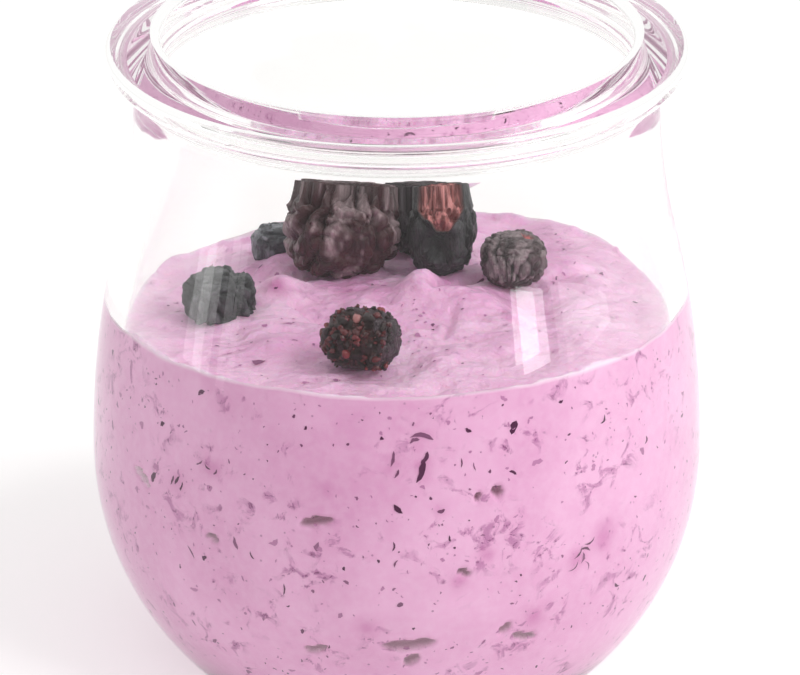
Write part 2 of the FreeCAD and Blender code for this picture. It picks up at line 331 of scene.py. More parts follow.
# %% Random fields on points
def soft_noise(points, size, seed=0):
    """Random numbers from -1 to 1 on a lattice of cells of this size, blended smoothly in between."""
    scaled = np.asarray(points) / size
    cell = np.floor(scaled).astype(np.int64)
    part = scaled - cell
    part = part * part * (3 - 2 * part)
    total = 0
    for corner in np.ndindex(2, 2, 2):
        x, y, z = np.moveaxis(cell + corner, -1, 0)
        code = (x * 73856093) ^ (y * 19349663) ^ (z * 83492791) ^ (seed * 2654435761)
        code = (code ^ (code >> 13)) * 1274126177
        number = ((code ^ (code >> 16)) & 0xffff) / 32767.5 - 1
        total = total + number * np.prod(np.where(corner, part, 1 - part), axis=-1)
    return total


def ridged(points, size, seed=0):
    """Sharp winding ridges: 1 along the lines where a random field changes sign, falling to both sides."""
    return 1 - np.abs(soft_noise(points, size, seed)) * 2


def hill(away, width):
    """Bell curve of a distance."""
    return np.exp(-(away / width) ** 2)


# %% [markdown]
# ## Glass jar
# The real jar is blown into a mould: a heavy rolled rim, a thin tulip wall and a thick base.  Flat facets
# would break up everything that is seen through it, so it is turned here as a fine, smooth surface of
# revolution from the same sizes as the CAD node, which it replaces.  Both sides of the wall are one closed
# shell, because light bends at each of them.

# %% Sizes of the jar
BELLY_RADIUS, BELLY_HEIGHT = 37.5, 26.0
FOOT_RADIUS, HEEL_ROUND = 25.7, 3.0
SHOULDER_HEIGHT, NECK_DRAW_IN = 53.7, 5.86
JAR_HEIGHT, NECK_TO_TOP = 80.0, 6.8
WALL, BASE_THICKNESS, FLOOR_ROUND = 3.2, 5.0, 9.0
THROAT_DROP, THROAT_ROUND, MOUTH_FLARE = 4.4, 20.0, math.radians(10.5)
FOOT_RING, PUNT_RISE = 5.2, 1.2

neck_radius = BELLY_RADIUS - NECK_DRAW_IN
neck_height = JAR_HEIGHT - NECK_TO_TOP
rise = neck_height - BELLY_HEIGHT
both_arcs = rise ** 2 / (2 * NECK_DRAW_IN) + NECK_DRAW_IN / 2
upper_arc = both_arcs * (SHOULDER_HEIGHT - BELLY_HEIGHT) / rise
hollow_arc = both_arcs - upper_arc
arc_turn = math.asin((SHOULDER_HEIGHT - BELLY_HEIGHT) / upper_arc)
across, down = BELLY_RADIUS - FOOT_RADIUS, BELLY_HEIGHT - HEEL_ROUND
lower_arc = (across ** 2 + down ** 2 - HEEL_ROUND ** 2) / (2 * (across - HEEL_ROUND))
print("wall arcs mm", round(lower_arc, 2), round(upper_arc, 2), round(hollow_arc, 2))


# %% Outline of the jar
def arc(centre, radius, start, end, count):
    """Points on a circle in the r-z plane."""
    turn = np.linspace(start, end, count)
    return np.stack([centre[0] + radius * np.cos(turn), centre[1] + radius * np.sin(turn)], -1)


def wall_line(inset, low_angle, drop=0.0, count=44):
    """The lower belly, upper belly and neck hollow up to drop below the neck, drawn in by a thickness."""
    end = math.pi + math.asin(drop / (hollow_arc + inset))
    return np.concatenate([
        arc((BELLY_RADIUS - lower_arc, BELLY_HEIGHT), lower_arc - inset, low_angle, 0, count)[:-1],
        arc((BELLY_RADIUS - upper_arc, BELLY_HEIGHT), upper_arc - inset, 0, arc_turn, count)[:-1],
        arc((neck_radius + hollow_arc, neck_height), hollow_arc + inset, math.pi + arc_turn, end, count // 2),
    ])


def inside_line(inset, bottom):
    """From the middle of the floor, round its corner and up the inset wall to the throat."""
    height = bottom + FLOOR_ROUND
    away = lower_arc - inset - FLOOR_ROUND
    centre = (BELLY_RADIUS - lower_arc + math.sqrt(away ** 2 - (height - BELLY_HEIGHT) ** 2), height)
    low_angle = math.atan2(height - BELLY_HEIGHT, centre[0] - BELLY_RADIUS + lower_arc)
    flat = np.stack([np.linspace(0, centre[0], 10)[:-1], np.full(9, bottom)], -1)
    return np.concatenate([flat, arc(centre, FLOOR_ROUND, -math.pi / 2, low_angle, 14)[:-1],
                           wall_line(inset, low_angle, THROAT_DROP)])


def supported(line, near=0.06):
    """A line with a point added just inside both ends of each straight run, so that it shades flat."""
    run = np.diff(line, axis=0)
    length = np.hypot(*run.T)[:, None]
    inset = np.minimum(near / length, 0.3)
    every = np.stack([line[:-1], line[:-1] + run * inset, line[1:] - run * inset], 1)
    kept = np.repeat([[True, False, False]], len(run), axis=0)
    kept[length[:, 0] > 4 * near] = True
    return np.concatenate([every[kept], line[-1:]])


def rounded_line(corners, count=16):
    """Points along a run of corners (r, z, rounding): each corner becomes an arc."""
    points = [corners[:1, :2]]
    for before, corner, after in zip(corners, corners[1:], corners[2:]):
        back = math.atan2(*(before - corner)[1::-1])
        ahead = math.atan2(*(after - corner)[1::-1])
        half = math.acos(math.cos(back - ahead)) / 2
        middle = math.atan2(math.sin(back) + math.sin(ahead), math.cos(back) + math.cos(ahead))
        centre = corner[:2] + corner[2] / math.sin(half) * np.array([math.cos(middle), math.sin(middle)])
        sweep = math.pi - 2 * half
        side = math.copysign(1, math.sin(back - ahead))
        points.append(arc(centre, corner[2], middle + math.pi + side * sweep / 2,
                          middle + math.pi - side * sweep / 2, count))
    return supported(np.concatenate(points + [corners[-1:, :2]]))


# %% Throat and rim of the jar
throat_lean = math.asin(THROAT_DROP / (hollow_arc + WALL))
throat_away = hollow_arc + WALL - THROAT_ROUND
throat_centre = (neck_radius + hollow_arc - throat_away * math.cos(throat_lean),
                 neck_height - throat_away * math.sin(throat_lean))
throat_line = arc(throat_centre, THROAT_ROUND, math.pi + throat_lean, math.pi - MOUTH_FLARE, 24)
throat_radius, throat_top = throat_line[-1]
LIP_RADIUS, RIM_CREST = 28.2, 80.358
RIM = np.array([
    (neck_radius, neck_height, 0),
    (neck_radius, 74.9, 0.9),
    (neck_radius + 2.5, 75.2, 1.5),
    (neck_radius + 3.5, 78.2, 0.9),
    (LIP_RADIUS, RIM_CREST, 1.0),
    (LIP_RADIUS, 75.5, 2.0),
    (throat_radius + (73.8 - throat_top) * math.tan(MOUTH_FLARE), 73.8, 2.0),
    (throat_radius, throat_top, 0),
])
rim_line = rounded_line(RIM)
print("rim radius mm", round(rim_line[:, 0].max(), 2), "top mm", round(rim_line[:, 1].max(), 2))

# %% Turn the jar
ROUND_STEPS = 250
INNER_RIM_POINTS = 14        # the last points of the rim's outline that belong to the inside
INNER_WOBBLE, OUTER_WOBBLE = -0.10, 0.06


def turned(name, line, wobble):
    """A closed outline turned about the axis; each ring's radius gets its share of a slow wobble."""
    turn = np.linspace(0, 2 * math.pi, ROUND_STEPS, endpoint=False)
    ring = np.stack([np.cos(turn), np.sin(turn)], -1)
    height = np.broadcast_to(line[:, None, 1:], (len(line), ROUND_STEPS, 1))
    points = np.concatenate([line[:, None, :1] * ring[None], height], -1)
    shift = wobble[:, None] * (soft_noise(points, 14.0, 3) - 1) / 2
    shift = shift + 0.35 * wobble[:, None] * (soft_noise(points * (1, 1, 0.3), 4.5, 5) - 1) / 2
    points[..., :2] += shift[..., None] * ring[None]
    return closed_grid(name, points)


heel_angle = math.atan2(HEEL_ROUND - BELLY_HEIGHT, FOOT_RADIUS - BELLY_RADIUS + lower_arc)
foot_inner = FOOT_RADIUS - FOOT_RING
punt_radius = (foot_inner ** 2 + PUNT_RISE ** 2) / (2 * PUNT_RISE)
punt_end = math.pi / 2 - math.asin(foot_inner / punt_radius)
punt = arc((0, PUNT_RISE - punt_radius), punt_radius, math.pi / 2, punt_end, 12)
heel = arc((FOOT_RADIUS, HEEL_ROUND), HEEL_ROUND, -math.pi / 2, heel_angle, 10)
outside = np.concatenate([punt, heel[:-1], wall_line(0, heel_angle)[:-1]])
inside = inside_line(WALL, BASE_THICKNESS)[::-1]
jar_line = np.concatenate([outside, rim_line, throat_line[::-1][1:], inside[1:]])
fade = np.clip((jar_line[:, 1] - 3) / 8, 0, 1)
inner = np.arange(len(jar_line)) >= len(outside) + len(rim_line) - INNER_RIM_POINTS
jar = turned("glass_jar", jar_line, fade * np.where(inner, INNER_WOBBLE, OUTER_WOBBLE))

# %% [markdown]
# The glass is one Principled shader with full transmission.  Rays towards a lamp and rays that light what is
# inside pass straight through it, so the mousse is lit cleanly and without bright flecks.

# %% Glass
glass = Finish("clear_glass")
through = light_path(glass, "Is Shadow Ray", "Is Diffuse Ray")
body = glass.surface(Base_Color=(0.985, 0.983, 0.978), Roughness=0.0, Transmission_Weight=1.0, IOR=1.5)
open_way = glass.node("ShaderNodeBsdfTransparent")
glass_material = glass.done(glass.node("ShaderNodeMixShader", {}, {0: through, 1: body, 2: open_way}))
jar.data.materials.append(glass_material)
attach(jar, "root")
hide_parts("jar")
bpy.context.scene.cycles.max_bounces = 32
bpy.context.scene.cycles.glossy_bounces = 32
bpy.context.scene.cycles.transmission_bounces = 32

# %% [markdown]
# ## Mousse
# Mousse is whipped, so its body is airy and soft, and it was spooned in: the top lies in low folds, higher at
# the front, with a soft peak between the berries.  It could be made as two pieces, but one closed surface for
# side and top leaves no seam where they meet.  Up the glass it follows the inside line, a quarter of a
# millimetre into the wall so that no air shows, and across the top it is a height over the plan.

# %% Where things lie on the mousse
INTO_WALL = 0.25
skin_line = inside_line(WALL - INTO_WALL, BASE_THICKNESS - INTO_WALL)
wall_part = skin_line[9:]


def wall_radius(height):
    """Radius of the mousse against the glass at a height."""
    return np.interp(height, wall_part[:, 1], wall_part[:, 0])


def bearing_gap(bearing, centre):
    """Difference of two bearings in radians, from -pi to pi."""
    return (bearing - centre + math.pi) % (2 * math.pi) - math.pi


FILL_HEIGHT, FALL_BACK, RISE_RIGHT = 44.85, 0.047, 0.012
# bearing from +X towards +Y in degrees, height and width in radians of the waves of the edge at the back
EDGE_WAVES = [(42, 0.9, 0.4), (128, -0.9, 0.5)]


def fill_height(bearing):
    """Height of the mousse where it meets the glass; the bearing is from +X towards +Y."""
    x, y = 32 * np.cos(bearing), 32 * np.sin(bearing)
    height = FILL_HEIGHT - FALL_BACK * y + RISE_RIGHT * x
    for at, size, width in EDGE_WAVES:
        height = height + size * hill(bearing_gap(bearing, math.radians(at)), width)
    ripple = np.stack([x, y, 0 * x], -1)
    return height + 0.22 * soft_noise(ripple, 7.0, 21) + 0.10 * soft_noise(ripple, 2.5, 22)


# place (x, y), height and width of the soft folds and hollows that the spoon left
FOLDS = [
    ((2.6, -2.2), 2.6, 3.0), ((-14.5, -0.5), 2.0, 2.6), ((-15.5, 7.5), 2.2, 3.2), ((-11.0, 12.0), 1.6, 4.0),
    ((-9.0, -6.5), -1.6, 3.6), ((9.0, -5.5), 1.2, 3.2), ((17.5, -4.5), -1.2, 3.4), ((20.0, 8.0), 1.6, 5.0),
    ((-2.0, -14.5), -0.9, 3.6), ((-22.0, 3.0), -1.0, 4.0), ((9.0, 16.0), 2.2, 4.5), ((-26.0, -7.0), 0.5, 4.0),
    ((12.0, -18.0), 0.9, 3.6), ((-13.0, -17.0), 0.9, 3.4), ((22.5, -12.0), 1.0, 3.4), ((-3.5, -7.5), 0.9, 2.4),
    ((5.5, -9.5), -1.0, 2.6), ((15.5, 14.0), -0.9, 3.0), ((25.0, 1.0), 0.9, 2.8), ((13.5, -10.0), 0.8, 2.0),
    ((-8.5, -12.0), 0.8, 2.2), ((20.0, -8.0), 0.7, 1.8), ((-18.5, -12.0), -0.8, 2.6), ((8.0, -13.5), 0.7, 2.0),
]
# start, end, depth and width of the creases between folds
CREASES = [
    ((4.3, -3.6), (10.0, 2.2), 1.1, 0.8), ((-14.5, -11.5), (-8.5, -12.5), 0.6, 0.5),
    ((5.5, -15.0), (6.8, -8.5), 0.6, 0.6), ((12.5, -10.5), (16.0, -12.5), 0.5, 0.5),
    ((-20.5, 1.5), (-17.0, 9.0), 0.8, 1.0), ((-6.5, -4.0), (-1.0, -5.5), 0.7, 1.0),
    ((-12.5, -4.5), (-7.0, -9.5), 0.6, 0.6), ((17.0, -7.5), (23.5, -4.5), 0.6, 0.6),
    ((19.0, 3.5), (24.5, 6.5), 0.5, 0.6), ((-1.0, -11.0), (4.5, -12.5), 0.4, 0.5),
]


def line_gap(x, y, start, end):
    """Distance from points to a line segment."""
    run = np.subtract(end, start)
    share = np.clip(((x - start[0]) * run[0] + (y - start[1]) * run[1]) / (run @ run), 0, 1)
    return np.hypot(x - start[0] - share * run[0], y - start[1] - share * run[1])


MIDDLE_HEIGHT, MIDDLE_RISE_RIGHT = 45.0, 0.02
EDGE_FROM, EDGE_WIDTH = 19, 13      # radius where the edge's height begins to tell, and over what width
MOUND_HEIGHT, MOUND_RADIUS = 2.1, 28


def top_height(x, y):
    """Height of the mousse's top: its edge on the glass carried inwards, a low mound, folds and creases."""
    radius = np.hypot(x, y)
    bearing = np.arctan2(y, x)
    edge = fill_height(bearing)
    middle = MIDDLE_HEIGHT - FALL_BACK * y + MIDDLE_RISE_RIGHT * x
    share = np.clip((radius - EDGE_FROM) / EDGE_WIDTH, 0, 1) ** 2
    height = middle * (1 - share) + edge * share
    height = height + MOUND_HEIGHT * np.clip(1 - (radius / MOUND_RADIUS) ** 2, 0, 1) ** 2
    for place, size, width in FOLDS:
        height = height + size * hill(np.hypot(x - place[0], y - place[1]), width)
    for start, end, depth, width in CREASES:
        height = height - depth * hill(line_gap(x, y, start, end), width)
    flat = np.stack([x, y, 0 * x], -1)
    height = height + 0.55 * soft_noise(flat, 5.0, 31) + 0.36 * soft_noise(flat * (1, 1.6, 1), 2.4, 32)
    return height + 0.11 * soft_noise(flat * (1, 1.6, 1), 0.9, 33)


# %% [markdown]
# Where the spoon trapped air against the glass the mousse has shallow, lens-shaped holes with a tail.  They are
# part of its surface: inside a hole the radius is drawn in by a depth that grows to the hole's middle.  The
# columns of the grid stand closer together at the front, where most of the holes are.

# %% Air holes
# bearing from the front towards the right in degrees, height, half width, half height, slant and depth
HOLES = np.array([
    (-15.4, 31.1, 2.2, 0.62, 0.10, 1.0), (-57.5, 30.0, 1.7, 0.55, -0.35, 0.9), (-37.5, 26.3, 1.0, 0.42, -0.1, 0.9),
    (-16.6, 14.0, 1.7, 0.50, 0.12, 0.9), (2.4, 15.3, 3.6, 0.80, 0.02, 1.3), (3.0, 13.0, 1.1, 0.85, 0.0, 1.1),
    (19.4, 34.6, 0.75, 0.72, 0.0, 1.0), (15.5, 34.2, 0.55, 0.40, -0.2, 0.7), (12.7, 24.9, 0.90, 0.42, -0.2, 0.9),
    (26.4, 14.8, 1.9, 0.50, -0.2, 0.9), (21.8, 16.4, 0.8, 0.70, 0.0, 0.9), (110.0, 27.0, 2.2, 0.9, 0.1, 1.2),
    (172.0, 33.0, 2.0, 0.9, -0.2, 1.2), (-130.0, 24.0, 2.4, 1.0, 0.2, 1.2),
])


def holes_at(bearing, height):
    """How deep the side is drawn in, in mm; the share of the full depth; and the rise in the hole, -1 to 1."""
    deep, share, rise = 0, 0, 0
    for at, middle, half_wide, half_high, slant, depth in HOLES:
        u = bearing_gap(bearing, math.radians(at - 90)) * 36 / half_wide
        v = (height - middle - slant * u * half_wide) / half_high
        v = v + 0.28 * np.sin(2.3 * u + at) - 0.35 * u * u * slant
        inside = np.clip((1 - u * u - v * v) / 0.5, 0, 1)
        deep = np.maximum(deep, depth * inside)
        share = np.maximum(share, inside)
        rise = np.where(inside > 0, v, rise)
    return deep, share, rise


# %% Mousse surface
MOUSSE_STEPS = 420
FLOOR_ROWS, SIDE_ROWS, TOP_ROWS = 7, 100, 88
FRONT_CROWDING, FRONT_WIDTH = 1.9, 1.05     # how much closer the columns stand in front, and over how many radians
FILM_HEIGHT, FILM_WIDTH = 0.35, 0.45        # of the rim of mousse that clings to the glass
PLAN_RADIUS = 34
turn = np.linspace(-math.pi, math.pi, 2000)
closeness = 1 + FRONT_CROWDING * hill(turn, FRONT_WIDTH) ** 2
travelled = np.concatenate([[0], np.cumsum((closeness[1:] + closeness[:-1]) / 2)])
bearing = np.interp(np.arange(MOUSSE_STEPS) / MOUSSE_STEPS * travelled[-1], travelled, turn) - math.pi / 2
edge_height = fill_height(bearing)
low = BASE_THICKNESS - INTO_WALL
floor_reach = np.linspace(0, wall_part[0, 0], FLOOR_ROWS + 1)[:-1, None]
floor_rows = np.stack([floor_reach * np.cos(bearing), floor_reach * np.sin(bearing),
                       np.full((FLOOR_ROWS, MOUSSE_STEPS), low)], -1)
share = np.linspace(0, 1, SIDE_ROWS)[:, None] ** 1.1
side_height = low + (edge_height + FILM_HEIGHT - low) * share
drawn_in, hole_share, hole_rise = holes_at(bearing + 0 * side_height, side_height)
side_radius = wall_radius(side_height) - drawn_in
side_rows = np.stack([side_radius * np.cos(bearing), side_radius * np.sin(bearing), side_height], -1)
inward = 1 - (np.arange(1, TOP_ROWS + 1) / TOP_ROWS)[:, None] ** 1.12
top_x = inward * side_rows[-1, :, 0]
top_y = inward * side_rows[-1, :, 1]
from_glass = (1 - inward) * PLAN_RADIUS
film = FILM_HEIGHT * np.exp(-from_glass / FILM_WIDTH)
top_rows = np.stack([top_x, top_y, top_height(top_x, top_y) + film], -1)
mousse_points = np.concatenate([floor_rows, side_rows, top_rows])
side = slice(FLOOR_ROWS, FLOOR_ROWS + SIDE_ROWS)
# Painted shade in the air holes: darker towards the top of each hole.
hole_shade_value = np.zeros(mousse_points.shape[:2])
hole_shade_value[side] = hole_share * (0.55 + 0.45 * np.clip(hole_rise, -1, 1))
print("mousse height mm", round(mousse_points[..., 2].max(), 2))

# %% [markdown]
# Where berries lie, their juice stains the mousse, and right under them the purple also stands in for the shade
# that they cast: partly a real stain, partly painted shade.  The stain is a value kept at each point of the mesh,
# worked out from the distance to the berries and the larger shreds, so that the shader can mix in purple there.

# %% Juice stains and painted shade under the berries
# place (x, y, z), width and strength
STAINS_AND_SHADE = [
    ((-14.6, -2.0, 48.0), 1.6, 0.8), ((-6.0, 1.0, 48.0), 4.6, 0.36), ((4.5, 1.0, 48.0), 3.6, 0.30),
    ((14.0, -1.8, 47.5), 3.2, 0.32), ((-3.9, -25.0, 46.0), 3.0, 0.30), ((23.5, -25.1, 25.4), 2.0, 0.50),
    ((20.3, -27.7, 23.8), 1.3, 0.45), ((-9.0, 0.5, 48.0), 2.0, 0.5), ((15.6, -29.3, 17.4), 1.5, 0.50),
    ((10.3, -32.8, 26.8), 1.0, 0.50), ((7.2, -33.6, 23.8), 0.9, 0.45), ((-21.0, -26.9, 35.0), 1.6, 0.40),
    ((-24.9, -23.6, 31.8), 1.3, 0.35), ((-0.6, -33.6, 38.4), 1.5, 0.30), ((2.8, -33.6, 38.4), 1.1, 0.34),
    ((-3.5, -33.4, 17.6), 1.4, 0.42), ((-4.5, -32.3, 43.6), 4.2, 0.24), ((-2.0, -2.0, 47.5), 2.6, 0.35),
    ((-8.0, -33.4, 35.4), 1.1, 0.25), ((2.6, -32.5, 41.8), 1.2, 0.30), ((4.8, -34.0, 33.0), 0.8, 0.30),
    ((-5.0, -33.6, 36.5), 8.0, 0.09),
]
# Painted highlight: a pale band along the mousse's brim, where it meets the glass.
BRIM_DOWN, BRIM_INWARD = 0.45, 0.6      # how far the pale brim reaches down the glass and inwards
stain = np.zeros(mousse_points.shape[:2])
for place, width, strength in STAINS_AND_SHADE:
    gap = np.linalg.norm(mousse_points - place, axis=-1) * (1 + 0.35 * soft_noise(mousse_points, 1.6, 41))
    stain = np.maximum(stain, strength * hill(gap, width))
brim = np.zeros(mousse_points.shape[:2])
brim[side] = np.clip(1 - (edge_height + FILM_HEIGHT - side_height) / BRIM_DOWN, 0, 1)
brim[side.stop:] = np.clip(1 - from_glass / BRIM_INWARD, 0, 1)
mousse = closed_grid("mousse_fill", mousse_points, stain=stain, hole=hole_shade_value, brim=brim)
wall_faces = (side.stop - 2) * MOUSSE_STEPS
slots = np.ones(len(mousse.data.polygons), np.int32)
slots[:wall_faces] = 0
slots[-2 * MOUSSE_STEPS:-MOUSSE_STEPS] = 0
mousse.data.polygons.foreach_set("material_index", slots)


# %% Mousse finish
def mousse_finish(name, open_top):
    """Pink foam: slow mottling, smudges of purple skin, fine bubbles and specks.

    Light goes a little way into it.  Against the glass it has no gloss of its own.
    """
    finish = Finish(name)
    cloud = finish.noise(0.011, detail=3.0).between(0.30, 0.72)
    grain = finish.noise(0.0011, detail=3.0, rough=0.6).between(0.30, 0.75)
    where_smudged = finish.noise(0.0075, detail=2.0).between(0.42, 0.60)
    smudge = finish.noise(0.0026, detail=5.0, rough=0.62, twist=0.8).between(0.53, 0.66) * where_smudged
    streak = finish.noise(0.0013, detail=4.0, rough=0.6, twist=1.5).between(0.55, 0.63)
    specks = finish.spots(0.0016)
    few = finish.noise(0.0045, detail=1.0).between(0.45, 0.62)
    dots = (1 - specks.between(0.05, 0.13)) * few
    # Painted light: the open top's colours are lighter than the side's, to brighten the top beyond what its light
    # gives.
    if open_top:
        tone = finish.blend((0.80, 0.40, 0.655), (0.93, 0.585, 0.80), cloud)
    else:
        tone = finish.blend((0.765, 0.375, 0.605), (0.845, 0.455, 0.69), cloud)
    tone = finish.blend(tone, (0.92, 0.66, 0.82), grain * 0.22)
    if open_top:
        smudge = smudge * 0.45
    tone = finish.blend(tone, (0.46, 0.17, 0.36), (smudge * 0.8).clamp())
    tone = finish.blend(tone, (0.20, 0.05, 0.15), streak * smudge * 0.9)
    # Juice stains, and under the berries also painted shade, mixed in as purple.
    tone = finish.blend(tone, (0.50, 0.10, 0.33), finish.attribute("stain").clamp())
    tone = finish.blend(tone, (0.20, 0.07, 0.16), dots * 0.55)
    # Painted highlight: the brim along the glass is blended towards pale pink.
    tone = finish.blend(tone, (0.97, 0.80, 0.90), finish.attribute("brim") * 0.75)
    # Painted shade: the air holes are darkened to grey mauve, most towards the top of each hole.
    painted_hole_shade = finish.attribute("hole")
    tone = finish.blend(tone, (0.42, 0.20, 0.30), painted_hole_shade.between(0.0, 0.35))
    tone = finish.blend(tone, (0.15, 0.07, 0.11), painted_hole_shade.between(0.55, 0.95))
    if open_top:
        soft = finish.bump(finish.noise(0.0022, detail=4.0, stretch=(1, 1.7, 1)), 0.0009, 0.6)
        fine = finish.bump(grain, 0.00025, 0.5, under=soft)
        shader = finish.surface(Base_Color=tone, Roughness=0.42, Specular_IOR_Level=0.45, Normal=fine,
                                Subsurface_Weight=0.5, Subsurface_Radius=(1.0, 0.4, 0.75),
                                Subsurface_Scale=0.003)
    else:
        shader = finish.surface(Base_Color=tone, Roughness=0.8, Specular_IOR_Level=0.0)
    return finish.done(shader)


mousse.data.materials.append(mousse_finish("mousse_on_glass", False))
mousse.data.materials.append(mousse_finish("mousse_top", True))
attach(mousse, "root")
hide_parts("mousse")

# %% [markdown]
# ## Berries
# A dried berry keeps the shape of a small ball with a five-lobed crown, but its skin has sunk into folds that
# run from the crown to the other end.  Each berry is a grid of rings round its own crown, so that the folds
# and the crown fall along the grid.  How far the skin reaches in a direction is a share of an ellipsoid's
# radius: folds, a ring and a dent for the crown, a groove between two lobes, and layers of fine wrinkles.
# The bloom, the bare flesh and the depth of the folds, which the shader darkens as painted shade, are kept at
# the points for the shader.

# %% Shape of a berry
def turn_about_up(points, degrees):
    """Points turned about the vertical."""
    c, s = math.cos(math.radians(degrees)), math.sin(math.radians(degrees))
    x, y, z = np.moveaxis(points, -1, 0)
    return np.stack([x * c - y * s, x * s + y * c, z], -1)


def directions(bearing, tilt, rows, columns):
    """Rings of unit directions round an axis, with the angle off the axis and the angle round it."""
    axis = np.array([math.cos(tilt) * math.cos(bearing), math.cos(tilt) * math.sin(bearing), math.sin(tilt)])
    side = np.cross(axis, (0, 0, 1.0))
    side /= np.linalg.norm(side)
    third = np.cross(side, axis)
    off = np.linspace(0, math.pi, rows)[:, None]
    about = np.linspace(0, 2 * math.pi, columns, endpoint=False)[None]
    way = (np.cos(off)[..., None] * axis + (np.sin(off) * np.cos(about))[..., None] * side
           + (np.sin(off) * np.sin(about))[..., None] * third)
    return way, off + 0 * about, about + 0 * off


def berry(name, centre, half, turn, crown, folds, fold_depth, wrinkle, crown_size, groove, open_flesh, seed,
          rows=150, columns=220):
    """A wrinkled berry; lengths in mm, crown as bearing and tilt in degrees, shares of the radius for depths."""
    way, off, about = directions(math.radians(crown[0]), math.radians(crown[1]), rows, columns)
    sway = 1.3 * soft_noise(way, 0.7, seed) + 0.5 * np.sin(3 * off + seed)
    crease = np.abs(np.sin(0.5 * folds * about + sway)) ** 0.6
    crease = 1 - (1 - crease) * np.clip(0.55 + 0.8 * soft_noise(way, 0.6, seed + 1), 0, 1)
    crinkle = np.clip(ridged(way, 0.30, seed + 2), 0, 1) ** 1.5
    fine = np.clip(ridged(way * (1, 1, 0.6), 0.13, seed + 3), 0, 1)
    share = 1 - fold_depth * (1 - crease) * np.sin(off) ** 0.5
    share -= wrinkle * (0.6 * crinkle + 0.4 * fine)
    share -= 0.04 * (1 - soft_noise(way, 0.9, seed + 4))
    lobes = 0.75 + 0.25 * np.cos(5 * about + 0.8 * soft_noise(way, 0.5, seed + 8))
    ring_angle, ring_height, dent = crown_size
    share += ring_height * lobes * hill(off - ring_angle, 0.11)
    share -= dent * hill(off, ring_angle * 0.72)
    share += 0.35 * dent * hill(off, 0.09)
    place, depth, width = groove
    share -= depth * hill(way[..., 0] - place, width) * np.clip(0.5 - 0.8 * way[..., 1] + 0.6 * way[..., 2], 0, 1)
    share += 0.010 * soft_noise(way, 0.05, seed + 5)
    bare = np.zeros(off.shape)
    if open_flesh is not None:
        spot, size = np.array(open_flesh[0], float), open_flesh[1]
        spot /= np.linalg.norm(spot)
        gap = np.arccos(np.clip(way @ spot, -1, 1)) + 0.16 * soft_noise(way, 0.22, seed + 6)
        bare = np.clip((size - gap) / 0.05, 0, 1)
        share -= bare * 0.07 * (1 + 0.6 * soft_noise(way, 0.12, seed + 7))
        share += 0.05 * hill(gap - size - 0.03, 0.045)
    share = np.minimum(share, 1.0)
    full = np.sign(way) * np.abs(way) ** 0.8
    points = turn_about_up(full * share[..., None] * half, turn) + centre
    # Painted shade: how far the folds, the wrinkles and the crown's dent are darkened in the shader.
    hollow = np.clip((1 - crease) * 0.8 + crinkle * 0.35 + 0.5 * hill(off, ring_angle * 0.8), 0, 1)
    # Painted shade: less bloom, and so a darker skin, in the folds and on the underside.
    bloom = 0.62 + 1.1 * soft_noise(way * (1, 1, 0.3), 0.24, seed + 9) - 0.8 * hollow
    bloom = bloom + 0.35 * soft_noise(way * (1, 1, 0.5), 0.07, seed + 10) - 0.5 * np.clip(-way[..., 2], 0, 1)
    piece = closed_grid(name, points, hollow=hollow, bloom=np.clip(bloom, 0, 1), bare=bare)
    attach(piece, "root")
    return piece


# %% Berry finish
def berry_finish(name, skin, deep, veil, veil_share, flesh=(0.45, 0.06, 0.07), rough=0.46):
    """Dark skin with a waxy bloom, folds darkened to near black as painted shade and, where the skin is torn, red
    flesh.
    """
    finish = Finish(name)
    cloud = finish.noise(0.0024, detail=3.0).between(0.35, 0.7)
    tone = finish.blend(skin, tuple(0.55 * c for c in skin), cloud)
    threads = finish.noise(0.0007, detail=4.0, stretch=(1, 1, 0.25), rough=0.65).between(0.42, 0.68)
    wax = (finish.attribute("bloom").between(0.15, 0.75) * (0.45 + 0.55 * threads)).clamp() * veil_share
    tone = finish.blend(tone, veil, wax)
    # Painted shade: the folds and the crown's dent are darkened towards the deep colour.
    tone = finish.blend(tone, deep, (finish.attribute("hollow") * 0.9).clamp())
    bare = finish.attribute("bare")
    torn = finish.noise(0.0008, detail=4.0, stretch=(1, 1, 0.25), rough=0.6).between(0.36, 0.58)
    red = finish.blend(flesh, tuple(c * share for c, share in zip(flesh, (0.22, 0.10, 0.10))), torn)
    tone = finish.blend(tone, red, bare.clamp())
    fine = finish.bump(finish.noise(0.0006, detail=5.0, stretch=(1, 1, 0.5), rough=0.6), 0.0004, 0.8)
    return finish.done(finish.surface(Base_Color=tone, Roughness=rough - 0.16 * bare, Normal=fine,
                                      Specular_IOR_Level=0.45))
